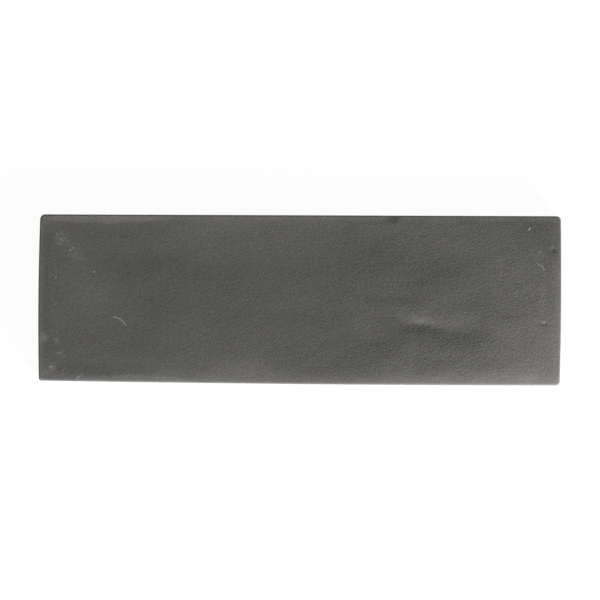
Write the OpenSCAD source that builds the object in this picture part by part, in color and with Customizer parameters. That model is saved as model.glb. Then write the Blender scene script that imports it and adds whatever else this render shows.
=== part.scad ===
// Glazed wall tile with a hand-made look, lying on its back.
//
// One pressed and fired piece. Its four sides taper and bow a little, its corners are softly
// rounded, its face swells and dips like a hand-pressed one and falls away in a pillow towards
// the edges, and its back carries the shallow waffle that keys the tile into the adhesive.
// The origin is the middle of the back, +X runs along the tile and +Z comes out of the face.

/* [Tile] */
// Length, over the widest points of the outline
length = 200; // [100:1:300]
// Width, over the widest points of the outline
width = 65.5; // [50:0.1:150]
// Thickness, from the back to the mean level of the face
thickness = 8.5; // [6:0.1:14]

/* [Outline] */
// Front side (-Y): how far its left end and its right end stand in, and how far its middle bows out
front_side = [1.93, 0, 0.42]; // [0:0.01:2]
// Right side (+X): how far its front end and its back end stand in, and how far its middle bows out
right_side = [0.66, 0.24, 0.33]; // [0:0.01:2]
// Back side (+Y): how far its left end and its right end stand in, and how far its middle bows out
back_side = [0, 0.74, 0.01]; // [0:0.01:2]
// Left side (-X): how far its front end and its back end stand in, and how far its middle bows out
left_side = [0.18, 0.74, 0.46]; // [0:0.01:2]
// Corner radii: front left, front right, back right, back left
corner_radii = [0.9, 1.2, 1.7, 1.9]; // [0.8:0.1:4]

/* [Edges] */
// Radius of the arris, where the face turns down into the sides
arris_radius = 0.7; // [0.4:0.1:1.5]
// Width of the pillowed band inside the outline
pillow_width = 5.5; // [3:0.5:15]
// How far the face falls across the pillowed band: front, right, back and left side
pillow_drops = [0.5, 0.35, 0.2, 0.3]; // [0:0.05:1]
// How far the foot of the sides stands inside the outline
side_draft = 0.4; // [0:0.1:1]

/* [Face] */
// Multiplies the height of every swell and hollow of the face
relief_scale = 1; // [0:0.1:1.5]
// Distance between the lines that the face is drawn with
face_step = 3; // [2:0.5:6]

/* [Back] */
// Rows of keys across the width
key_rows = 4; // [2:2:8]
// Columns of keys along the length
key_columns = 14; // [2:2:30]
// Plain border around the keys
key_border = 5.2; // [3:0.1:10]
// Width of the ribs between the keys
key_rib = 2; // [1.5:0.1:4]
// Depth of the keys
key_depth = 0.8; // [0.3:0.1:1.5]
// Corner radius of the keys
key_corner = 1.5; // [0.5:0.1:2]

/* [Hidden] */

half_length = length / 2;
half_width = width / 2;
ARC_STEPS = 4; // straight steps that draw a quarter of the arris
PILLOW_STEPS = 4; // straight steps that draw the pillowed band
SIDE_SAMPLES = 200; // places where a side's reach is measured
CUT_MARGIN = 1; // how far the blank runs below the back before it is cut level

// Swells and hollows of the face, from its middle: [x, y, half length, half width, turn, height].
SWELLS = [
    [45, -9.6, 8.5, 2.6, -7, -0.5], // press mark, right of the middle
    [62, -11.4, 9, 3.6, -4, -0.42], // its right end
    [27, -13, 9, 4, -6, -0.3], // its left end
    [66, -22, 16, 6.5, 4, 0.5], // clay pushed up in front of it
    [38, -22, 9, 5, 0, 0.15], // and in front of its left end
    [54, 0, 9, 5, -4, 0.12], // clay pushed up behind it
    [56, 6.5, 13, 6, 8, 0.3], // ridge behind that
    [30, 9, 18, 8, 26, 0.2], // and its slanting left end
    [90, -6, 7, 9, 0, 0.3], // swell at the right side
    [100, -34, 28, 15, 12, -1], // front right corner, which falls away
    [4, -4, 14, 4, 4, -0.12], // shallow trough in the middle
    [-42, -4, 16, 15, 25, 0.45], // broad swell, left half
    [-20, 24, 30, 6, 0, 0.25], // swell along the back side
    [-75, 27, 16, 6, 0, -0.3], // hollow at the back left corner
    [-86, 8, 8, 12, 12, 0.3], // swell at the left side
    [-66, -14, 8, 10, 0, -0.15], // hollow between the two
    [-25, -34, 21, 9, 0, -1], // front side left of the middle, which falls away
    [-20, -31, 13, 6.5, 0, -0.45], // and most at its middle
];

function clamped(low, high, value) = min(max(value, low), high);

// How far a side stands in at t, which runs from 0 at its first end to 1 at its other end.
function sag(side, t) = side[0] * (1 - t) + side[1] * t - 4 * side[2] * t * (1 - t);
function reach(side) = min([for (i = [0:SIDE_SAMPLES]) sag(side, i / SIDE_SAMPLES)]);
front_reach = reach(front_side);
right_reach = reach(right_side);
back_reach = reach(back_side);
left_reach = reach(left_side);

// The place in the tapered and bowed outline of a point of the plain rectangle.
function in_outline(x, y) =
    let (u = x / length + 0.5, v = y / width + 0.5)
    [
        x + (sag(left_side, v) - left_reach) * (1 - u) - (sag(right_side, v) - right_reach) * u,
        y + (sag(front_side, u) - front_reach) * (1 - v) - (sag(back_side, u) - back_reach) * v,
    ];

function corner_radius(x, y) = corner_radii[y < 0 ? (x < 0 ? 0 : 1) : (x < 0 ? 3 : 2)];

// How far x and y reach into the square of the rounded corner, as shares of its radius.
function corner_shares(x, y) =
    let (r = corner_radius(x, y))
    [clamped(0, 1, (abs(x) - half_length) / r + 1), clamped(0, 1, (abs(y) - half_width) / r + 1)];

// A point of the plain rectangle, moved so that the square of a corner becomes a quarter disc.
function in_corner(x, y) =
    let (r = corner_radius(x, y), s = corner_shares(x, y))
    [
        x - sign(x) * r * s[0] * (1 - sqrt(1 - s[1] * s[1] / 2)),
        y - sign(y) * r * s[1] * (1 - sqrt(1 - s[0] * s[0] / 2)),
    ];

// Distance from a point of the rectangle to its side, measured round the corner's own arc.
function inside(x, y) =
    let (r = corner_radius(x, y), p = in_corner(x, y))
    let (a = abs(p[0]) - half_length + r, b = abs(p[1]) - half_width + r)
    r - (a > 0 && b > 0 ? norm([a, b]) : max(a, b));

function arris_fall(x, y) =
    let (d = clamped(0, arris_radius, inside(x, y)))
    arris_radius - sqrt(max(0, pow(arris_radius, 2) - pow(arris_radius - d, 2)));

function band_fall(drop, d) = drop * pow(1 - clamped(0, 1, d / pillow_width), 2);
function pillow_fall(x, y) =
    band_fall(pillow_drops[x < 0 ? 3 : 1], half_length - abs(x))
    + band_fall(pillow_drops[y < 0 ? 0 : 2], half_width - abs(y));

function swell(s, x, y) =
    let (dx = x - s[0], dy = y - s[1])
    let (a = (dx * cos(s[4]) + dy * sin(s[4])) / s[2], b = (dy * cos(s[4]) - dx * sin(s[4])) / s[3])
    s[5] * exp(-a * a - b * b);
function relief(x, y) = relief_scale * sum_of([for (s = SWELLS) swell(s, x, y)]);
function sum_of(list) = list * [for (item = list) 1];

function face_point(x, y) =
    concat(
        in_outline(in_corner(x, y)[0], in_corner(x, y)[1]),
        thickness + relief(x, y) - pillow_fall(x, y) - arris_fall(x, y)
    );

// The same point at the foot of the side, drawn in by the draft.
function foot_point(x, y) =
    let (c = in_corner(x, y))
    concat(
        in_outline(c[0] * (1 - side_draft / half_length), c[1] * (1 - side_draft / half_width)),
        -CUT_MARGIN
    );

// Distances from a side at which the face is drawn: close on the arris, wider on the pillow.
edge_lines = concat(
    [for (i = [0:ARC_STEPS]) arris_radius * (1 - cos(90 * i / ARC_STEPS))],
    [for (i = [1:PILLOW_STEPS]) arris_radius + (pillow_width - arris_radius) * i / PILLOW_STEPS]
);
function lines_across(half) =
    let (middle = half - pillow_width, steps = 2 * ceil(middle / face_step))
    concat(
        [for (d = edge_lines) d - half],
        [for (i = [1:steps - 1]) (2 * i / steps - 1) * middle],
        [for (i = [len(edge_lines) - 1:-1:0]) half - edge_lines[i]]
    );

// The pressed blank: face, sides, and a foot that runs below the back.
module blank() {
    xs = lines_across(half_length);
    ys = lines_across(half_width);
    nx = len(xs);
    ny = len(ys);
    function at(i, j) = i * ny + j;
    rim = concat(
        [for (i = [0:nx - 2]) [i, 0]],
        [for (j = [0:ny - 2]) [nx - 1, j]],
        [for (i = [nx - 1:-1:1]) [i, ny - 1]],
        [for (j = [ny - 1:-1:1]) [0, j]]
    );
    foot = nx * ny;
    middle = foot + len(rim);
    points = concat(
        [for (x = xs, y = ys) face_point(x, y)],
        [for (p = rim) foot_point(xs[p[0]], ys[p[1]])],
        [[0, 0, -CUT_MARGIN]]
    );
    face = [
        for (i = [0:nx - 2], j = [0:ny - 2])
        each [
            [at(i, j), at(i + 1, j + 1), at(i + 1, j)],
            [at(i, j), at(i, j + 1), at(i + 1, j + 1)],
        ]
    ];
    sides_and_foot = [
        for (k = [0:len(rim) - 1])
        let (next = (k + 1) % len(rim))
        let (a = at(rim[k][0], rim[k][1]), b = at(rim[next][0], rim[next][1]))
        each [
            [a, b, foot + next],
            [a, foot + next, foot + k],
            [middle, foot + k, foot + next],
        ]
    ];
    polyhedron(points = points, faces = concat(face, sides_and_foot));
}

// One key: a square with rounded corners.
module key(size_x, size_y) {
    square([size_x - 2 * key_corner, size_y], center = true);
    square([size_x, size_y - 2 * key_corner], center = true);
    for (sx = [-1, 1], sy = [-1, 1])
        translate([sx * (size_x / 2 - key_corner), sy * (size_y / 2 - key_corner)])
            circle(r = key_corner, $fn = 24);
}

// The die that the back is pressed on: a flat plate with one raised stud for each key.
module back_die() {
    pitch_x = (length - 2 * key_border + key_rib) / key_columns;
    pitch_y = (width - 2 * key_border + key_rib) / key_rows;
    translate([-length, -width, -2 * CUT_MARGIN])
        cube([2 * length, 2 * width, 2 * CUT_MARGIN]);
    for (i = [0:key_columns - 1], j = [0:key_rows - 1])
        translate([(i - (key_columns - 1) / 2) * pitch_x, (j - (key_rows - 1) / 2) * pitch_y, -CUT_MARGIN])
            linear_extrude(CUT_MARGIN + key_depth)
                key(pitch_x - key_rib, pitch_y - key_rib);
}

module tile() {
    color([0.35, 0.35, 0.34])
        difference() {
            blank();
            back_die();
        }
}

tile();
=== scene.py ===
"""Glazed wall tile: presses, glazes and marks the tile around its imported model, in a plain studio."""

import math

import bmesh
import bpy
from bpy.props import FloatProperty, FloatVectorProperty, IntProperty, PointerProperty
from mathutils import Matrix, Vector, noise


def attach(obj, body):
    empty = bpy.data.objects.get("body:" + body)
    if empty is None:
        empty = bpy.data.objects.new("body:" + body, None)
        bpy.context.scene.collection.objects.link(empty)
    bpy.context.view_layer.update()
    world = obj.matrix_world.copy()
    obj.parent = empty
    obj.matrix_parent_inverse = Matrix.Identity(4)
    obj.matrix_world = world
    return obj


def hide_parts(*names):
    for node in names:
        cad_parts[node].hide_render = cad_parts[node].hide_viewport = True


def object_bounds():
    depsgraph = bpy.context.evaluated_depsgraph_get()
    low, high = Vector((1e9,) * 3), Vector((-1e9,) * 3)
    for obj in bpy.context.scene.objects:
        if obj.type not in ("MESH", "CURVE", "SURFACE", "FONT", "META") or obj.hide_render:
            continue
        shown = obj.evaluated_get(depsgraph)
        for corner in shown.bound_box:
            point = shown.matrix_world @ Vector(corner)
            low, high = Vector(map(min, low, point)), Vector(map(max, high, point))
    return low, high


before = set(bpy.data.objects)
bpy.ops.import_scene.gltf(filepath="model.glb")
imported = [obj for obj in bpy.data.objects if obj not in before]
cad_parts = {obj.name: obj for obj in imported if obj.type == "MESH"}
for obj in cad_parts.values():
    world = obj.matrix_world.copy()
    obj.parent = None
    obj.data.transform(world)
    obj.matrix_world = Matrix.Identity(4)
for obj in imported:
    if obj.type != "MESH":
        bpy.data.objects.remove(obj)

bl_info = {
    "name": "Glazed wall tile",
    "version": (1, 0, 0),
    "blender": (4, 5, 0),
    "location": "View3D > Sidebar > Tile",
    "description": "Builds a glazed wall tile with a hand-made look and a plain studio around it",
    "category": "Object",
}

CAD_LOW, CAD_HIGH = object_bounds()
MM = 0.001

# Swells and hollows pressed into the face, the same as in the CAD source, in mm from its middle:
# x, y, half length, half width, turn in degrees, height.
SWELLS = [
    (45, -9.6, 8.5, 2.6, -7, -0.5),  # press mark, right of the middle
    (62, -11.4, 9, 3.6, -4, -0.42),  # its right end
    (27, -13, 9, 4, -6, -0.3),  # its left end
    (66, -22, 16, 6.5, 4, 0.5),  # clay pushed up in front of it
    (38, -22, 9, 5, 0, 0.15),  # and in front of its left end
    (54, 0, 9, 5, -4, 0.12),  # clay pushed up behind it
    (56, 6.5, 13, 6, 8, 0.3),  # ridge behind that
    (30, 9, 18, 8, 26, 0.2),  # and its slanting left end
    (90, -6, 7, 9, 0, 0.3),  # swell at the right side
    (100, -34, 28, 15, 12, -1),  # front right corner, which falls away
    (4, -4, 14, 4, 4, -0.12),  # shallow trough in the middle
    (-42, -4, 16, 15, 25, 0.45),  # broad swell, left half
    (-20, 24, 30, 6, 0, 0.25),  # swell along the back side
    (-75, 27, 16, 6, 0, -0.3),  # hollow at the back left corner
    (-86, 8, 8, 12, 12, 0.3),  # swell at the left side
    (-66, -14, 8, 10, 0, -0.15),  # hollow between the two
    (-25, -34, 21, 9, 0, -1),  # front side left of the middle, which falls away
    (-20, -31, 13, 6.5, 0, -0.45),  # and most at its middle
]

# Finer relief that the CAD source leaves out, in the same terms.
DENTS = [
    (47.5, -9.1, 3.8, 1.5, -12, -0.22),  # deepest place of the press mark
    (55.5, -12.5, 5, 2.2, -10, -0.06),  # and right of that
    (46, -4, 3.6, 2.6, -12, 0.16),  # lumps on its far side
    (48, -6.6, 5, 1.6, -10, 0.05),
    (58, -8, 3.5, 2.2, -10, 0.1),
    (59, -4.4, 5, 2.4, 0, 0.13),
    (73, -8, 4, 4, 0, 0.1),  # and at its right end
    (82, -9, 6, 5, 0, 0.12),
    (36.5, -8.2, 3, 1.6, -7, 0.1),  # shallower at its left end
    (38, -5.6, 4.5, 1.8, 0, -0.07),  # ripples left of it
    (37, -1.6, 8, 1.6, -2, 0.09),
    (31, -6.6, 8, 1.6, -10, -0.1),
    (33, 2.2, 8, 1.8, -3, -0.07),
    (27, -16.2, 6, 2.6, 0, -0.14),  # and in front of it
    (34, -19, 9, 3, -4, -0.08),
    (35.5, -20, 5.5, 4.5, 0, 0.22),
    (41, -16.8, 6, 2.4, 0, 0.1),
    (34.9, 33.2, 3.0, 2.4, 10, -0.5),  # nick in the back arris
    (37.2, 30.3, 2.0, 0.8, 49, 0.07),  # and its lip
    (96.9, 19.5, 1.3, 0.8, -20, -0.28),  # dents near the right side
    (93.3, -9.1, 2.0, 0.8, -8, -0.13),
    (46.3, 25.2, 0.9, 0.8, 0, -0.1),
]

# Where the glaze is paler or darker than around it: thinner or thicker glaze, and painted light and shade
# that stand in for the relief's shading. In the same terms, with a share for the height.
GLAZE_AND_PAINTED_LIGHT_PATCHES = [
    (-101, 4, 20, 42, 0, 0.10),  # paler along the left side: thin glaze, and painted light
    (-101, -18, 4, 10, 0, 0.09),
    (-98, -27, 5, 5, 0, 0.12),
    (-98, 30, 5, 4, 0, 0.22),
    (-28, 36, 56, 10, 0, 0.27),  # along the back side
    (0, 33, 100, 4.5, 0, 0.11),
    (-30, 29.5, 14, 3, 0, 0.11),
    (0, 29, 8, 2.5, 0, 0.05),
    (57, 29.5, 7, 3.5, 0, 0.07),
    (34, 29, 4, 2.5, 0, 0.07),
    (103, -4, 27, 34, 0, 0.16),  # along the right side
    (88, 0, 10, 12, 0, 0.1),
    (98.4, 2, 1.3, 28, 0, 0.08),
    (84, -24, 16, 10, 0, 0.12),  # at the front right corner
    (98, -27, 12, 8, 0, 0.13),
    (96, -14, 6, 8, 0, 0.09),
    (79, -12, 5, 3.5, 0, 0.07),
    (81, -16, 5, 4.5, 0, 0.08),
    (68, -34, 44, 4.5, 0, 0.11),  # along the front side
    (85, -28.5, 10, 3, 0, 0.19),
    (52, -30, 38, 4.5, 0, 0.19),
    (-13, -29.5, 9, 4.5, 0, 0.17),
    (-66, -25, 14, 3.2, 0, 0.14),
    (-53, -29, 8, 2.5, 0, 0.08),
    (-60, 23, 32, 7, 0, 0.09),  # paler smears, left half
    (-30, 26.5, 18, 3.5, 0, 0.07),
    (-88, 15, 8, 12, -15, 0.08),
    (-75, 0, 7, 7, 0, 0.09),
    (-28, -28, 12, 4, 0, 0.05),
    (-20, -16, 5, 3.5, 0, 0.06),
    (-66, 20, 6, 4, 0, 0.06),
    (45, 23, 12, 6, 0, 0.05),  # and right half
    (59, 21, 6, 4, 0, 0.08),
    (50, -7, 9, 4.5, 0, 0.09),
    (38, -3, 8, 2.4, 0, 0.05),
    (64, -4.5, 8, 2.2, 20, 0.06),
    (65, -14.2, 6, 2.2, 0, 0.06),
    # painted highlight on the crest of the press mark
    (45.8, -7.9, 2.2, 1, -15, 0.13),
    (73, -17.5, 8, 3.5, 8, 0.1),
    (58, -21, 11, 3, 0, 0.13),
    (43, -20, 6, 2.6, 0, 0.07),
    (33, -15, 3, 3, 0, 0.11),
    (26, -12, 4, 4, 0, 0.06),
    (37.5, 5, 9.5, 6, 5, -0.36),  # darker places, right half: thick glaze, and painted shade
    (34, -11, 7, 6, 0, -0.11),
    (53, -16, 6, 2.2, -8, -0.03),
    (68, -2, 7, 4, 0, -0.1),
    (52, 12, 14, 5, 0, -0.06),
    (70, -25, 10, 2.8, 0, -0.12),
    (95, 20, 6, 7, 0, -0.13),
    (88, 28, 6, 3, 0, -0.07),
    (20, 18, 13, 7, 0, -0.1),  # in the middle
    (3, 14, 8, 5, 0, -0.06),
    (17, -11, 12, 11, 0, -0.06),
    (22, -27, 9, 6, 0, -0.08),
    (-25, 9.5, 9, 4, 0, -0.05),  # and left half
    (-31, -3, 5, 9, 0, -0.05),
    (-56, -5, 5, 5, 0, -0.07),
    (-58, 13.5, 18, 4.5, 0, -0.1),
    (-96, 22, 5, 5, 0, -0.07),
    (-72, 26.8, 24, 3.2, 0, -0.085),
    (-95, -21, 3.5, 4, 0, -0.12),
    (-84, -29.2, 13, 3, 0, -0.16),
]

# Bands along a side where the glaze ran thin, with a sharp, bowed edge: x of the middle, half length,
# the edge's y in the middle and how much further out it runs at the ends, share.
RUNS = [
    (-75, 28, 29.35, 2.0, 0.29),
    (-62, 24, -29.9, 1.95, 0.23),
]

# Specks and scratches in the glaze: x, y, half length, half width, turn, how pale they are.
SPECKS = [
    (-78.55, 10.75, 0.36, 0.36, 0, 0.7),  # left half
    (-93.1, 8.65, 0.36, 0.36, 0, 0.65),
    (-93.2, -1.6, 1.5, 0.3, 18, 0.16),
    (-91.5, 32.1, 0.8, 0.3, 0, 0.3),
    (-99.5, -7.4, 0.25, 0.6, 0, 0.3),
    (-92.8, 25.1, 1.0, 0.3, -55, 0.22),  # strokes at the back left scuffs
    (-90.4, 22.8, 1.2, 0.35, -5, 0.24),
    (-91.8, 21.5, 0.4, 0.4, 0, 0.28),
    (-86.5, 19.9, 1.0, 0.35, 0, 0.36),
    (-87.7, 19.1, 0.9, 0.3, 45, 0.28),
    (-97.4, -14.8, 1.0, 0.5, 40, 0.3),  # and at those of the left side
    (-96.3, -14.3, 0.36, 0.36, 0, 0.26),
    (-96.3, -12.0, 0.36, 0.36, 0, 0.2),
    (-93.2, -15.2, 0.7, 0.4, 0, 0.22),
    (-92.6, -12.2, 0.36, 0.36, 0, 0.24),
    (-91.7, -20.3, 1.6, 0.4, 5, 0.22),
    (-95.1, -25.7, 1.1, 0.45, -50, 0.34),
    (-97.3, -27.4, 1.5, 0.35, 35, 0.2),
    (-90.4, -26.8, 1.4, 0.3, 48, 0.16),
    (-84.6, -29.6, 2.0, 0.35, 38, 0.3),
    (9.1, 31.4, 0.9, 0.35, 25, 0.3),  # right half
    (45.8, 20.5, 0.4, 0.35, 0, 0.16),
    (55.3, 22.4, 0.4, 0.35, 0, 0.16),
    (76.7, 29.0, 0.4, 0.35, 0, 0.16),
    (76.9, 12.6, 0.45, 0.35, 0, 0.18),
    (76.2, 14.4, 2.3, 0.3, 16, 0.07),
    (87.75, 27.1, 1.05, 0.3, 56, 0.95),
    (96.5, 20.5, 0.9, 0.5, 30, 0.16),  # and along the right side
    (92.4, 20.6, 0.5, 0.4, 0, 0.16),
    (91.5, 18.2, 0.6, 0.5, 0, 0.26),
    (91.4, 13.5, 1.4, 0.4, -25, 0.24),
    (93.1, 12.1, 1.5, 0.4, -60, 0.36),
    (92.9, 1.8, 0.4, 0.4, 0, 0.2),
    (91.7, -0.6, 0.5, 0.4, 0, 0.2),
    (92.4, -5.5, 0.5, 0.4, 0, 0.16),
    (93.3, -8.6, 1.0, 0.4, 0, 0.22),
    (97.3, 30.2, 0.9, 0.5, 20, 0.12),
]

# Pinholes in the glaze, in the same terms, with how dark they are: painted shade, black in the small dents
# pressed there.
PAINTED_PINHOLE_SHADE = [
    (91.8, -9.2, 0.6, 0.45, -30, 0.5),
    (93.0, -9.6, 0.5, 0.4, 0, 0.4),
    (94.2, -9.6, 0.6, 0.45, 20, 0.6),
    (97.3, 19.0, 1.0, 0.6, 10, 0.5),
    (46.3, 24.8, 0.6, 0.6, 0, 0.2),
]

# Curved scratch, part of a circle: x and y of its middle, radius, width, direction, half angle, paleness.
SCRATCH = (-71.5, -12.0, 5.45, 0.3, 55.5, 32.5, 0.4)

# Scuffed places, where fine pale specks gather, in the terms of the specks.
SCUFFS = [
    (-91, 23.5, 4.6, 5.0, 0, 0.42),
    (-86, 18.0, 5.0, 4.6, -30, 0.38),
    (-98.2, -14.5, 2.8, 3.6, 0, 0.5),
    (-93, -15.5, 2.4, 2.4, 0, 0.3),
    (-95.4, -26.0, 4.0, 3.5, 0, 0.46),
    (-91.5, -20.3, 3.0, 2.5, 0, 0.28),
    (-84, -29.3, 2.8, 1.8, 40, 0.3),
    (92, 17, 5.0, 6.0, 0, 0.16),
    (93, 1, 3.0, 9.0, 0, 0.18),
]


class TileSettings(bpy.types.PropertyGroup):
    """Sizes of the tile"""

    thickness: FloatProperty(
        name="Thickness",
        description="From the back to the mean level of the face",
        default=8.5 * MM,
        unit="LENGTH",
    )
    front_side: FloatVectorProperty(
        name="Front side",
        description="How far its left end and its right end stand in, and how far its middle bows out",
        default=(1.93 * MM, 0, 0.42 * MM),
        unit="LENGTH",
    )
    right_side: FloatVectorProperty(
        name="Right side",
        description="How far its front end and its back end stand in, and how far its middle bows out",
        default=(0.66 * MM, 0.24 * MM, 0.33 * MM),
        unit="LENGTH",
    )
    back_side: FloatVectorProperty(
        name="Back side",
        description="How far its left end and its right end stand in, and how far its middle bows out",
        default=(0, 0.74 * MM, 0.01 * MM),
        unit="LENGTH",
    )
    left_side: FloatVectorProperty(
        name="Left side",
        description="How far its front end and its back end stand in, and how far its middle bows out",
        default=(0.18 * MM, 0.74 * MM, 0.46 * MM),
        unit="LENGTH",
    )
    corner_radii: FloatVectorProperty(
        name="Corner radii",
        description="Front left, front right, back right and back left",
        size=4,
        default=(0.9 * MM, 1.2 * MM, 1.7 * MM, 1.9 * MM),
        unit="LENGTH",
    )
    arris_radius: FloatProperty(
        name="Arris radius",
        description="Rounding where the face turns down into the sides",
        default=0.7 * MM,
        unit="LENGTH",
    )
    pillow_width: FloatProperty(
        name="Pillow width",
        description="Width of the band inside the outline where the face falls away",
        default=5.5 * MM,
        unit="LENGTH",
    )
    pillow_drops: FloatVectorProperty(
        name="Pillow drops",
        description="How far the face falls across that band: front, right, back and left side",
        size=4,
        default=(0.5 * MM, 0.35 * MM, 0.2 * MM, 0.3 * MM),
        unit="LENGTH",
    )
    side_draft: FloatProperty(
        name="Side draft",
        description="How far the foot of the sides stands inside the outline",
        default=0.4 * MM,
        unit="LENGTH",
    )
    mesh_step: FloatProperty(
        name="Mesh step",
        description="Distance between the lines of the face's mesh",
        default=0.46 * MM,
        unit="LENGTH",
    )
    key_rows: IntProperty(
        name="Key rows",
        description="Keys across the width of the back",
        default=4,
    )
    key_columns: IntProperty(
        name="Key columns",
        description="Keys along the length of the back",
        default=14,
    )
    key_border: FloatProperty(
        name="Key border",
        description="Plain border around the keys",
        default=5.2 * MM,
        unit="LENGTH",
    )
    key_rib: FloatProperty(
        name="Key rib",
        description="Width of the ribs between the keys",
        default=2 * MM,
        unit="LENGTH",
    )
    key_depth: FloatProperty(
        name="Key depth",
        description="Depth of the keys",
        default=0.8 * MM,
        unit="LENGTH",
    )
    key_corner: FloatProperty(
        name="Key corner",
        description="Corner radius of the keys",
        default=1.5 * MM,
        unit="LENGTH",
    )


class GlazeSettings(bpy.types.PropertyGroup):
    """Colours and finish of the glaze and the body"""

    glaze_colour: FloatVectorProperty(
        name="Glaze",
        description="Colour of the glaze where it is thick",
        subtype="COLOR",
        default=(0.0954, 0.0936, 0.0897),
        min=0,
        max=1,
    )
    # Pale colour for thin glaze, and for the painted light laid in with it.
    thin_glaze_and_lit_colour: FloatVectorProperty(
        name="Thin glaze",
        description="Colour of the glaze where it has run thin over the edges",
        subtype="COLOR",
        default=(0.2115, 0.2075, 0.199),
        min=0,
        max=1,
    )
    # Paler bands along the sides: thin glaze, and painted light, most on the left side, which faces away
    # from the lamp.
    edge_glaze_and_painted_light: FloatVectorProperty(
        name="Thin edges",
        description="How thin the glaze is along the front, right, back and left side",
        size=4,
        default=(0.34, 0.16, 0.32, 0.48),
        min=0,
        max=1,
    )
    # Paler still on the arris: thin glaze, and painted light on the back and left arris, which face away
    # from the lamp.
    arris_glaze_and_painted_light: FloatVectorProperty(
        name="Thin arris",
        description="How much thinner still it is on the arris there",
        size=4,
        default=(0.1, 0, 0.66, 0.82),
        min=0,
        max=1,
    )
    # Widths of the paler bands: thin glaze and painted light.
    edge_glaze_and_light_widths: FloatVectorProperty(
        name="Thin edge widths",
        description="How wide the thin glaze is along the front, right, back and left side",
        size=4,
        default=(4.2 * MM, 3 * MM, 3.4 * MM, 3.5 * MM),
        unit="LENGTH",
    )
    body_colour: FloatVectorProperty(
        name="Body",
        description="Colour of the fired clay",
        subtype="COLOR",
        default=(0.43, 0.37, 0.3),
        min=0,
        max=1,
    )
    scuff_colour: FloatVectorProperty(
        name="Scuffs",
        description="Colour of scratches, specks and scuffs",
        subtype="COLOR",
        default=(0.5, 0.49, 0.47),
        min=0,
        max=1,
    )
    roughness: FloatProperty(
        name="Roughness",
        description="How satin the glaze is",
        default=0.46,
        min=0,
        max=1,
    )
    shine: FloatProperty(
        name="Shine",
        description="How much the glaze mirrors: 0.5 is a clear gloss, less is a matt one",
        default=0.35,
        min=0,
        max=1,
    )
    grain_size: FloatProperty(
        name="Grain size",
        description="Size of the grain in the glaze",
        default=0.76 * MM,
        unit="LENGTH",
    )
    grain_depth: FloatProperty(
        name="Grain depth",
        description="Depth of the grain in the glaze",
        default=0.2 * MM,
        precision=6,
        unit="LENGTH",
    )
    grain_shares: FloatVectorProperty(
        name="Grain at the corners",
        description="Share of that depth at the front left, front right, back left and back right",
        size=4,
        default=(0.95, 1.8, 0.72, 1.46),
        min=0,
    )


class StudioSettings(bpy.types.PropertyGroup):
    """Camera and light"""

    key_level: FloatProperty(
        name="Key light",
        description="Share of the light on the face that comes from the soft box at the front right",
        default=0.72,
        min=0,
    )
    sky_level: FloatProperty(
        name="Sky",
        description="Share of the light on the face that comes from all around",
        default=0.28,
        min=0,
    )
    camera_height: FloatProperty(
        name="Camera height",
        description="Height of the camera over the floor",
        default=1.2,
        unit="LENGTH",
    )
    picture_width: FloatProperty(
        name="Picture width",
        description="What the picture takes in from side to side, at the height of the arris",
        default=229.35 * MM,
        unit="LENGTH",
    )


# Shape of the face


SWELL_REACH = 12  # squared distance, in a swell's own half sizes, past which it adds nothing


def clamped(low, high, value):
    return min(max(value, low), high)


def sag(side, t):
    """How far a side stands in, a share t along it."""
    return side[0] * (1 - t) + side[1] * t - 4 * side[2] * t * (1 - t)


def swelled(table, x, y):
    """Height that a table of swells adds at a point."""
    total = 0.0
    for sx, sy, half_long, half_wide, turn, height in table:
        dx, dy = x - sx, y - sy
        c, s = math.cos(math.radians(turn)), math.sin(math.radians(turn))
        a, b = (dx * c + dy * s) / half_long, (dy * c - dx * s) / half_wide
        reach = a * a + b * b
        if reach < SWELL_REACH:
            total += height * math.exp(-reach)
    return total


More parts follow.
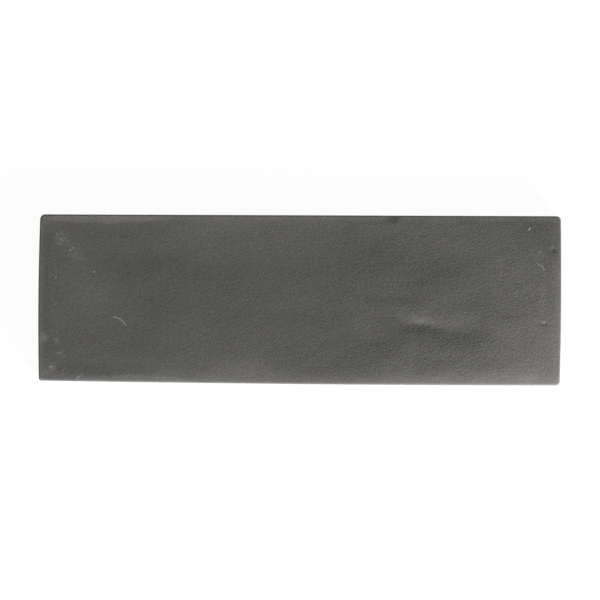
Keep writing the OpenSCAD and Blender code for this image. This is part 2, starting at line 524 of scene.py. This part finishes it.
class Shape:
    """The tile's outline and face, in mm, as the CAD source has them."""

    SIDE_SAMPLES = 200

    def __init__(self, settings):
        def in_mm(values):
            return [v / MM for v in values]

        self.half_length = (CAD_HIGH.x - CAD_LOW.x) / 2 / MM
        self.half_width = (CAD_HIGH.y - CAD_LOW.y) / 2 / MM
        self.thickness = settings.thickness / MM
        self.front, self.right = in_mm(settings.front_side), in_mm(settings.right_side)
        self.back, self.left = in_mm(settings.back_side), in_mm(settings.left_side)
        sides = {"front": self.front, "right": self.right, "back": self.back, "left": self.left}
        self.reach = {
            name: min(sag(side, i / self.SIDE_SAMPLES) for i in range(self.SIDE_SAMPLES + 1))
            for name, side in sides.items()
        }
        self.radii = in_mm(settings.corner_radii)
        self.arris = settings.arris_radius / MM
        self.pillow_width = settings.pillow_width / MM
        self.pillow_drops = in_mm(settings.pillow_drops)

    def in_outline(self, x, y):
        """A point of the plain rectangle, moved so that the sides taper and bow."""
        u, v = x / self.half_length / 2 + 0.5, y / self.half_width / 2 + 0.5
        return (
            x
            + (sag(self.left, v) - self.reach["left"]) * (1 - u)
            - (sag(self.right, v) - self.reach["right"]) * u,
            y
            + (sag(self.front, u) - self.reach["front"]) * (1 - v)
            - (sag(self.back, u) - self.reach["back"]) * v,
        )

    def in_corner(self, x, y):
        """A point of the rectangle, moved so that the corners are rounded."""
        r = self.radii[(0 if x < 0 else 1) if y < 0 else (3 if x < 0 else 2)]
        a = clamped(0, 1, (abs(x) - self.half_length) / r + 1)
        b = clamped(0, 1, (abs(y) - self.half_width) / r + 1)
        rounded_x = x - math.copysign(r * a * (1 - math.sqrt(1 - b * b / 2)), x)
        rounded_y = y - math.copysign(r * b * (1 - math.sqrt(1 - a * a / 2)), y)
        return rounded_x, rounded_y, r

    def inside(self, x, y):
        """Distance from a point to the rounded outline."""
        px, py, r = self.in_corner(x, y)
        a, b = abs(px) - self.half_length + r, abs(py) - self.half_width + r
        return r - (math.hypot(a, b) if a > 0 and b > 0 else max(a, b))

    def pillow_fall(self, x, y):
        along = (1 - clamped(0, 1, (self.half_length - abs(x)) / self.pillow_width)) ** 2
        across = (1 - clamped(0, 1, (self.half_width - abs(y)) / self.pillow_width)) ** 2
        return self.pillow_drops[3 if x < 0 else 1] * along + self.pillow_drops[0 if y < 0 else 2] * across

    def face_point(self, x, y):
        """A point of the face over a point of the plain rectangle."""
        d = clamped(0, self.arris, self.inside(x, y))
        fall = self.arris - math.sqrt(max(0, self.arris**2 - (self.arris - d) ** 2))
        fall += self.pillow_fall(x, y)
        px, py, _ = self.in_corner(x, y)
        px, py = self.in_outline(px, py)
        return px, py, self.thickness - fall + swelled(SWELLS, x, y)


# Thickness of the glaze with painted light and shade on it, and its grain. Lengths in mm.


MEAN_THINNESS = 0.06
WOBBLE_SIZE, WOBBLE_SEED = 7, 3.7  # waves in how far the paler glaze at the edges reaches in
EDGE_WOBBLE = 0.3  # share of the width that they add
EDGE_FADE = 1.5  # how steeply the paler edge bands, thin glaze and painted light, fade inwards
RIM_WIDTH, RIM_FADE = 0.9, 0.7
RUN_EDGE = 0.6  # softness of a run's edge
RUN_WOBBLE = 0.4
RUN_ENDS = 4  # a run fades over its outer quarters

THIN_CALM = 0.28  # how much the paler glaze, thin glaze and painted light, calms the grain, from a paleness of 0.1 to 0.6
THIN_FROM, THIN_SPAN = 0.1, 0.5
SIDE_CALM, SIDE_CALM_WIDTH = 0.25, 12  # how much the grain calms near the sides
ARRIS_GRAIN = 0.1  # what is left of the grain on the arris
ARRIS_FROM, ARRIS_SPAN = 0.3, 1.4


def eased(value):
    value = clamped(0, 1, value)
    return value * value * (3 - 2 * value)


def thin_glaze_and_painted_light(shape, look, x, y):
    """How pale the glaze is at a point of the face, from thin glaze with painted light and shade laid over
    it: 0 gives the thick glaze's colour, 1 the thin glaze's.
    """
    wobble = noise.noise((x / WOBBLE_SIZE, y / WOBBLE_SIZE, WOBBLE_SEED))
    total = MEAN_THINNESS + swelled(GLAZE_AND_PAINTED_LIGHT_PATCHES, x, y)
    distances = (shape.half_width + y, shape.half_length - x, shape.half_width - y, shape.half_length + x)
    # Paler bands along the sides: thin glaze, and painted light, most on the back and left arris, which
    # face away from the lamp.
    for share, width, rim, distance in zip(look.edge_glaze_and_painted_light, look.edge_glaze_and_light_widths, look.arris_glaze_and_painted_light, distances):
        reach = width / MM * (1 + EDGE_WOBBLE * wobble)
        total += share * (1 - clamped(0, 1, distance / reach)) ** EDGE_FADE
        total += rim * (1 - clamped(0, 1, distance / RIM_WIDTH)) ** RIM_FADE
    for middle, half_long, edge, bow, share in RUNS:
        if y * edge > 0:
            off = abs(x - middle) / half_long
            depth = (abs(y) - abs(edge) - bow * off * off + RUN_WOBBLE * wobble) / RUN_EDGE + 0.5
            total += share * eased(depth) * eased((1 - off) * RUN_ENDS)
    return total


def grain(shape, look, x, y, thin):
    """How deep the grain is at a point of the face: less near the sides, and where thin glaze and painted
    light make the glaze paler.
    """
    u, v = eased(x / shape.half_length / 2 + 0.5), eased(y / shape.half_width / 2 + 0.5)
    front_left, front_right, back_left, back_right = look.grain_shares
    front = front_left + (front_right - front_left) * u
    back = back_left + (back_right - back_left) * u
    share = front + (back - front) * v
    share *= 1 - THIN_CALM * eased((thin - THIN_FROM) / THIN_SPAN)
    distance = shape.inside(x, y)
    share *= 1 - SIDE_CALM + SIDE_CALM * eased(distance / SIDE_CALM_WIDTH)
    return share * (ARRIS_GRAIN + (1 - ARRIS_GRAIN) * eased((distance - ARRIS_FROM) / ARRIS_SPAN))


# Mesh. Lengths in mm.


ARC_STEPS = 5  # mesh lines across the arris
SIDE_GRAIN = 0.8  # the grain's share of its depth on the sides
LUMP_TURN = 24  # degrees
LUMP_WAVES = [(14, 5, 0.3, 1), (5, 2.4, 7.1, 0.45)]  # length, width, seed, share
LUMP_DEPTH, LUMP_GAIN, LUMP_SPAN = 0.03, 0.025, 80
LUMP_EDGE = 2  # the lumps fade out over this distance from the sides
# Rings below the arris: share of its height, then how far in they stand, the sides as a share of the draft
# and the foot past it.
SIDE_RINGS = [(0.86, 0.1), (0.68, 0.28), (0.5, 0.5), (0.32, 0.7), (0.16, 0.88), (0.035, 1.0)]
FOOT_RINGS = [(0.012, 0.14), (0.0, 0.34)]
KEY_LIP = [(0.06, 0.12)]  # steps of a key's wall: how far in and how far down
KEY_WALL = 0.1
KEY_FLOOR = [(0.08, 0.14), (0.16, 0.06)]
KEY_CORNER_STEPS = 5
SMOOTH_ABOVE = 1.2  # the back, its keys and the foot keep flat faces


def lines_across(half, arris, step):
    """Where the mesh lines cross the face, from one edge to the other."""
    arc = [arris * (1 - math.cos(math.pi / 2 * i / ARC_STEPS)) for i in range(ARC_STEPS)]
    count = max(2, round(2 * (half - arris) / step))
    middle = [arris - half + 2 * (half - arris) * i / count for i in range(count + 1)]
    return [d - half for d in arc] + middle + [half - d for d in reversed(arc)]


def lumps(x, y):
    """Fine waves of the hand-worked clay, longer along a slanting direction and deeper to the right."""
    c, s = math.cos(math.radians(LUMP_TURN)), math.sin(math.radians(LUMP_TURN))
    along, across = x * c + y * s, y * c - x * s
    wave = 0.0
    for long, wide, seed, share in LUMP_WAVES:
        wave += share * noise.noise((along / long, across / wide, seed))
    return wave * (LUMP_DEPTH + LUMP_GAIN * eased(x / LUMP_SPAN + 0.5))


def add_face(bm, shape, step, look):
    """The face and its arris, as a grid laid on the outline. Returns its outer edges."""
    # thin: how pale the glaze is, thin glaze with painted light and shade laid in.
    thin, grained = bm.verts.layers.float.new("thin"), bm.verts.layers.float.new("grain")
    xs = lines_across(shape.half_length, shape.arris, step)
    ys = lines_across(shape.half_width, shape.arris, step)
    verts = bmesh.ops.create_grid(bm, x_segments=len(xs) - 1, y_segments=len(ys) - 1, size=1)["verts"]
    for v in verts:
        column = round((v.co.x + 1) / 2 * (len(xs) - 1))
        row = round((v.co.y + 1) / 2 * (len(ys) - 1))
        x, y = xs[column], ys[row]
        px, py, z = shape.face_point(x, y)
        edge = clamped(0, 1, shape.inside(x, y) / LUMP_EDGE)
        z += edge * (lumps(x, y) - LUMP_DEPTH) + swelled(DENTS, x, y)
        v.co = (px, py, z)
        v[thin] = thin_glaze_and_painted_light(shape, look, x, y)
        v[grained] = grain(shape, look, x, y, v[thin])
    return [e for e in bm.edges if e.is_boundary]


def add_sides(bm, rim, shape, draft):
    """The sides and the foot's small rounding, below the arris."""
    steps = [(share, draft * run) for share, run in SIDE_RINGS]
    steps += [(share, draft + extra) for share, extra in FOOT_RINGS]
    grained = bm.verts.layers.float["grain"]
    level, inset = 1.0, 0.0
    for share, stands_in in steps:
        made = bmesh.ops.extrude_edge_only(bm, edges=rim)["geom"]
        verts = [g for g in made if isinstance(g, bmesh.types.BMVert)]
        rim = [g for g in made if isinstance(g, bmesh.types.BMEdge) and g.is_boundary]
        more = stands_in - inset
        shrink = (1 - more / shape.half_length, 1 - more / shape.half_width, share / level)
        bmesh.ops.scale(bm, vec=shrink, verts=verts)
        for v in verts:
            v[grained] = SIDE_GRAIN
        level, inset = share, stands_in


def add_key(bm, centre, size, corner, depth):
    """One key: a rounded shallow pocket in the back."""
    place = Matrix.Translation((*centre, 0)) @ Matrix.Diagonal((size[0] / 2, size[1] / 2, 1, 1))
    verts = bmesh.ops.create_grid(bm, x_segments=1, y_segments=1, size=1, matrix=place)["verts"]
    made = bmesh.ops.bevel(
        bm,
        geom=verts,
        offset=corner,
        segments=KEY_CORNER_STEPS,
        profile=0.5,
        affect="VERTICES",
        material=-1,
    )
    face = made["verts"][0].link_faces[0]
    face.normal_update()
    if face.normal.z > 0:
        face.normal_flip()
    rounding = sum(sink for _, sink in KEY_LIP + KEY_FLOOR)
    for run, sink in KEY_LIP + [(KEY_WALL, depth - rounding)] + KEY_FLOOR:
        bmesh.ops.inset_individual(bm, faces=[face], thickness=run, depth=-sink, use_even_offset=True)


def press_tile(settings, look):
    """The whole tile as one closed mesh, in mm."""
    shape = Shape(settings)
    bm = bmesh.new()
    rim = add_face(bm, shape, settings.mesh_step / MM, look)
    add_sides(bm, rim, shape, settings.side_draft / MM)

    rib, border = settings.key_rib / MM, settings.key_border / MM
    across = (2 * shape.half_length - 2 * border + rib) / settings.key_columns
    along = (2 * shape.half_width - 2 * border + rib) / settings.key_rows
    for column in range(settings.key_columns):
        for row in range(settings.key_rows):
            centre = (
                (column - (settings.key_columns - 1) / 2) * across,
                (row - (settings.key_rows - 1) / 2) * along,
            )
            size = (across - rib, along - rib)
            add_key(bm, centre, size, settings.key_corner / MM, settings.key_depth / MM)
    rims = [e for e in bm.edges if e.is_boundary]
    bmesh.ops.triangle_fill(bm, edges=rims, use_beauty=True, normal=(0, 0, -1))
    bmesh.ops.recalc_face_normals(bm, faces=bm.faces)
    open_edges = [e for e in bm.edges if not e.is_manifold]
    if open_edges:
        raise RuntimeError(f"the tile has {len(open_edges)} open edges")
    for f in bm.faces:
        f.smooth = f.calc_center_median().z > SMOOTH_ABOVE
    return bm


def fit_to_cad(bm):
    """Turns mm into metres and keeps the mesh within the CAD model's box."""
    low = [min(v.co[i] for v in bm.verts) for i in range(3)]
    high = [max(v.co[i] for v in bm.verts) for i in range(3)]
    for v in bm.verts:
        for i in range(2):
            share = (v.co[i] - low[i]) / (high[i] - low[i])
            v.co[i] = CAD_LOW[i] + share * (CAD_HIGH[i] - CAD_LOW[i])
        v.co.z = min(v.co.z * MM, CAD_HIGH.z)


def mesh_object(name, bm):
    mesh = bpy.data.meshes.new(name)
    bm.to_mesh(mesh)
    bm.free()
    piece = bpy.data.objects.new(name, mesh)
    bpy.context.scene.collection.objects.link(piece)
    return piece


# Materials


class Nodes:
    """Adds nodes to a material or a world and links them as they are added."""

    def __init__(self, owner):
        owner.use_nodes = True
        self.tree = owner.node_tree
        self.shader = self.tree.nodes.get("Principled BSDF") or self.tree.nodes["Background"]

    def add(self, kind, inputs, out=0, **options):
        """A node with its inputs, values or sockets, given in order or by name. Returns one output."""
        node = self.tree.nodes.new("ShaderNode" + kind)
        for key, value in options.items():
            setattr(node, key, value)
        self.feed(node, inputs)
        return node.outputs[out]

    def feed(self, node, inputs):
        pairs = inputs.items() if isinstance(inputs, dict) else enumerate(inputs)
        for key, value in pairs:
            if isinstance(value, bpy.types.NodeSocket):
                self.tree.links.new(value, node.inputs[key])
            else:
                node.inputs[key].default_value = value

    def maths(self, operation, *inputs):
        return self.add("Math", inputs, operation=operation)

    def vector(self, operation, *inputs, out=0):
        return self.add("VectorMath", inputs, operation=operation, out=out)

    def noise(self, place, scale, detail=2.0, roughness=0.5):
        inputs = {"Vector": place, "Scale": scale, "Detail": detail, "Roughness": roughness}
        return self.add("TexNoise", inputs)

    def ramp(self, value, low, high, to_low=0.0, to_high=1.0):
        """Runs smoothly from to_low to to_high as the value goes from low to high."""
        return self.add("MapRange", (value, low, high, to_low, to_high), interpolation_type="SMOOTHSTEP")

    def mix(self, share, a, b):
        return self.add("Mix", {0: share, 6: a, 7: b}, data_type="RGBA", out=2)

    def spot(self, place, x, y, half_long, half_wide, turn, strength, soft=0.7):
        """A soft oval: strength in its middle and 0 outside it. Sizes in mm."""
        size = {
            "Vector": place,
            "Location": (x * MM, y * MM, 0),
            "Rotation": (0, 0, math.radians(turn)),
            "Scale": (half_long * MM, half_wide * MM, 1),
        }
        turned = self.add("Mapping", size, vector_type="TEXTURE")
        ball = self.add("TexGradient", (turned,), 1, gradient_type="SPHERICAL")
        return self.ramp(ball, 0.0, soft, 0.0, strength)

    def spots(self, place, table, soft=0.7):
        """All the spots of a table, laid over each other."""
        total = None
        for row in table:
            spot = self.spot(place, *row, soft=soft)
            total = spot if total is None else self.maths("MAXIMUM", total, spot)
        return total

    def arc(self, place, x, y, radius, width, middle, half_angle, strength, core=0.2, soft=0.03):
        """A curved scratch: part of a circle, middle and half_angle in degrees. Sizes in mm."""
        away = self.vector("SUBTRACT", place, (x * MM, y * MM, 0))
        away = self.vector("MULTIPLY", away, (1, 1, 0))
        reach = self.vector("LENGTH", away, out=1)
        off = self.maths("ABSOLUTE", self.maths("SUBTRACT", reach, radius * MM))
        line = self.ramp(off, width * MM, core * width * MM, 0.0, strength)
        a = math.radians(middle)
        towards = (math.cos(a), math.sin(a), 0)
        facing = self.vector("DOT_PRODUCT", self.vector("NORMALIZE", away), towards, out=1)
        limit = math.cos(math.radians(half_angle))
        return self.maths("MULTIPLY", line, self.ramp(facing, limit - soft, limit + soft))


# The glaze's noises: waves in a metre, detail, roughness.
MOTTLE = (45, 4, 0.6)
TINT = (1000, 2, 0.6)
DUST = (1050, 3, 0.8)
FOOT_WAVE = (60, 3, 0.5)
GRAIN_DETAIL = (2.5, 0.75)
NOISE_SPAN = (0.3, 0.7)  # where most of a noise's values lie
MOTTLE_TONE, TINT_TONE = 0.04, 0.085  # how much those two change the glaze's tone
DUST_SPAN, DUST_LEAST = (0.54, 0.66), 0.12  # scuffs keep this much between their specks
FOOT_LINE = (2.6 * MM, 2.2 * MM)  # the glaze ends between these heights
FOOT_WAVE_HEIGHT = 2.2 * MM
ROUGHNESS_SPREAD, WORN_ROUGHNESS = 0.03, 0.4


def glaze_material(look):
    """Satin glaze over a pale body, with thin edges, painted light and shade, painted shade in the
    pinholes, grain, scuffs and a bare foot.
    """
    material = bpy.data.materials.new("satin_glaze")
    n = Nodes(material)
    place = n.add("TexCoord", (), out=3)
    height = n.add("SeparateXYZ", (place,), out=2)

    mottle = n.noise(place, *MOTTLE)
    tint = n.noise(place, *TINT)
    broad = n.ramp(mottle, *NOISE_SPAN, 1 - MOTTLE_TONE, 1 + MOTTLE_TONE)
    tone = n.maths("ADD", broad, n.ramp(tint, *NOISE_SPAN, -TINT_TONE, TINT_TONE))
    # How pale the glaze is: thin glaze, with painted light and shade laid in.
    thin = n.add("Attribute", (), 2, attribute_name="thin")
    colour = n.mix(thin, (*look.glaze_colour, 1), (*look.thin_glaze_and_lit_colour, 1))
    colour = n.add("VectorMath", {0: colour, "Scale": tone}, operation="SCALE")

    specks = n.spots(place, SPECKS)
    scratch = n.arc(place, *SCRATCH)
    dust = n.ramp(n.noise(place, *DUST), *DUST_SPAN, DUST_LEAST, 1.0)
    scuffs = n.maths("MULTIPLY", n.spots(place, SCUFFS, 1.0), dust)
    worn = n.maths("MAXIMUM", n.maths("MAXIMUM", specks, scratch), scuffs)
    colour = n.mix(worn, colour, (*look.scuff_colour, 1))
    # Painted shade: black in the pinholes' small dents.
    colour = n.mix(n.spots(place, PAINTED_PINHOLE_SHADE), colour, (0, 0, 0, 1))

    wave = n.maths("SUBTRACT", n.noise(place, *FOOT_WAVE), 0.5)
    line = n.maths("ADD", height, n.maths("MULTIPLY", wave, FOOT_WAVE_HEIGHT))
    bare = n.ramp(line, *FOOT_LINE)
    colour = n.mix(bare, colour, (*look.body_colour, 1))

    low, high = look.roughness - ROUGHNESS_SPREAD, look.roughness + ROUGHNESS_SPREAD
    satin = n.ramp(mottle, *NOISE_SPAN, low, high)
    rough = n.maths("ADD", satin, n.maths("MULTIPLY", n.maths("MAXIMUM", bare, worn), WORN_ROUGHNESS))

    waves = n.maths("SUBTRACT", n.noise(place, 1 / look.grain_size, *GRAIN_DETAIL), 0.5)
    waves = n.maths("MULTIPLY", waves, n.add("Attribute", (), 2, attribute_name="grain"))
    bump = n.add("Bump", {"Height": waves, "Distance": look.grain_depth, "Strength": 1.0})
    glaze = {
        "Base Color": colour,
        "Roughness": rough,
        "Normal": bump,
        "Specular IOR Level": look.shine,
    }
    n.feed(n.shader, glaze)
    return material


# Studio


# The key light's direction turns from +X towards +Y, in degrees. Lengths are in metres.
KEY_AZIMUTH, KEY_ELEVATION = -52, 18.5
KEY_DISTANCE = 0.9
KEY_SIZE = (0.45, 0.3)
FLOOR_RADIUS = 5.0
WALL_RINGS = [(5.19, 0.04), (5.35, 0.15), (5.46, 0.31), (5.5, 0.5), (5.5, 1.8)]
FLOOR_SEGMENTS = 96
PAPER_BOUNCE, PAPER_SHADE = 0.6, 0.07  # how pale the paper is to other surfaces, and under its shadow
PAPER_GLOW = 0.955  # with the light on it, it shows as white
CAMERA_PLACE = (0.09 * MM, -0.025 * MM)  # over the middle of the tile
CAMERA_CLIP = (0.01, 20)
ARRIS_LEVEL = 7.7 * MM  # where the picture's width is measured


def round_floor():
    """A round floor that turns up into a low wall all around."""
    bm = bmesh.new()
    bmesh.ops.create_circle(bm, cap_ends=True, radius=FLOOR_RADIUS, segments=FLOOR_SEGMENTS)
    radius, height = FLOOR_RADIUS, 0.0
    for new_radius, new_height in WALL_RINGS:
        rim = [e for e in bm.edges if e.is_boundary]
        made = bmesh.ops.extrude_edge_only(bm, edges=rim)["geom"]
        verts = [g for g in made if isinstance(g, bmesh.types.BMVert)]
        bmesh.ops.scale(bm, vec=(new_radius / radius, new_radius / radius, 1), verts=verts)
        bmesh.ops.translate(bm, vec=(0, 0, new_height - height), verts=verts)
        radius, height = new_radius, new_height
    for f in bm.faces:
        f.smooth = True
    return bm


def soft_box(name, level):
    """A rectangular lamp that gives a share of the light on the face."""
    a, e = math.radians(KEY_AZIMUTH), math.radians(KEY_ELEVATION)
    away = Vector((math.cos(a) * math.cos(e), math.sin(a) * math.cos(e), math.sin(e)))
    data = bpy.data.lights.new(name, "AREA")
    data.shape = "RECTANGLE"
    data.size, data.size_y = KEY_SIZE
    data.energy = level * math.pi**2 * KEY_DISTANCE**2 / math.sin(e)
    data.cycles.use_multiple_importance_sampling = False  # or stray mirrored rays still find the lamp
    lamp = bpy.data.objects.new(name, data)
    lamp.location = away * KEY_DISTANCE
    lamp.rotation_euler = away.to_track_quat("Z", "Y").to_euler()
    lamp.visible_glossy = False  # the glaze mirrors the white room, and no lamp glares in it
    bpy.context.scene.collection.objects.link(lamp)


def seen_rays(n):
    """1 for the rays that show a backdrop: the camera's, and those of mirrors and glass."""
    seen = n.add("LightPath", (), "Is Camera Ray")
    for kind in ("Is Glossy Ray", "Is Transmission Ray"):
        seen = n.maths("MAXIMUM", seen, n.add("LightPath", (), kind))
    return seen


def floor_material():
    """White paper that stays white where it is seen and takes a faint shadow."""
    material = bpy.data.materials.new("floor_paper")
    n = Nodes(material)
    camera = n.add("LightPath", (), "Is Camera Ray")
    paper = {
        "Base Color": n.mix(camera, (*[PAPER_BOUNCE] * 3, 1), (*[PAPER_SHADE] * 3, 1)),
        "Roughness": 1.0,
        "Specular IOR Level": 0.0,
        "Emission Color": (1, 1, 1, 1),
        "Emission Strength": n.maths("MULTIPLY", seen_rays(n), PAPER_GLOW),
    }
    n.feed(n.shader, paper)
    return material


def sky(level):
    """Even white light from all around."""
    world = bpy.data.worlds.new("sky")
    n = Nodes(world)
    n.feed(n.shader, {"Color": (1, 1, 1, 1), "Strength": level})
    return world


# Operators


class TILE_OT_press(bpy.types.Operator):
    """Builds the glazed tile in place of the CAD model's plain one"""

    bl_idname = "tile.press"
    bl_label = "Press the tile"

    def execute(self, context):
        bm = press_tile(context.scene.tile_sizes, context.scene.tile_look)
        fit_to_cad(bm)
        piece = mesh_object("glazed_tile", bm)
        piece.data.materials.append(glaze_material(context.scene.tile_look))
        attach(piece, "root")
        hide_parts("tile")
        return {"FINISHED"}


class TILE_OT_studio(bpy.types.Operator):
    """Sets a white floor, a soft box and a camera around the tile"""

    bl_idname = "tile.studio"
    bl_label = "Set the studio"

    def execute(self, context):
        scene, studio = context.scene, context.scene.tile_studio
        floor = mesh_object("floor", round_floor())
        floor.data.materials.append(floor_material())

        soft_box("key_light", studio.key_level)
        scene.world = sky(studio.sky_level)

        data = bpy.data.cameras.new("camera")
        camera = bpy.data.objects.new("camera", data)
        scene.collection.objects.link(camera)
        camera.location = (*CAMERA_PLACE, studio.camera_height)
        reach = studio.camera_height - ARRIS_LEVEL
        data.lens = data.sensor_width * reach / studio.picture_width
        data.clip_start, data.clip_end = CAMERA_CLIP
        scene.camera = camera
        scene.view_settings.view_transform = "Standard"
        scene.cycles.use_denoising = False  # it would wipe the grain out of the glaze
        return {"FINISHED"}


class TILE_PT_panel(bpy.types.Panel):
    """Sizes, colours and steps of the tile"""

    bl_label = "Glazed wall tile"
    bl_idname = "TILE_PT_panel"
    bl_space_type = "VIEW_3D"
    bl_region_type = "UI"
    bl_category = "Tile"

    def draw(self, context):
        scene = context.scene
        for settings, operator in (
            (scene.tile_sizes, None),
            (scene.tile_look, TILE_OT_press),
            (scene.tile_studio, TILE_OT_studio),
        ):
            box = self.layout.box()
            for name in settings.bl_rna.properties.keys():
                if name not in ("rna_type", "name"):
                    box.prop(settings, name)
            if operator:
                box.operator(operator.bl_idname)


CLASSES = (TileSettings, GlazeSettings, StudioSettings, TILE_OT_press, TILE_OT_studio, TILE_PT_panel)


def register():
    for c in CLASSES:
        bpy.utils.register_class(c)
    bpy.types.Scene.tile_sizes = PointerProperty(type=TileSettings)
    bpy.types.Scene.tile_look = PointerProperty(type=GlazeSettings)
    bpy.types.Scene.tile_studio = PointerProperty(type=StudioSettings)


def unregister():
    del bpy.types.Scene.tile_sizes, bpy.types.Scene.tile_look, bpy.types.Scene.tile_studio
    for c in reversed(CLASSES):
        bpy.utils.unregister_class(c)


def main():
    register()
    bpy.ops.tile.press()
    bpy.ops.tile.studio()


if __name__ == "__main__":
    main()
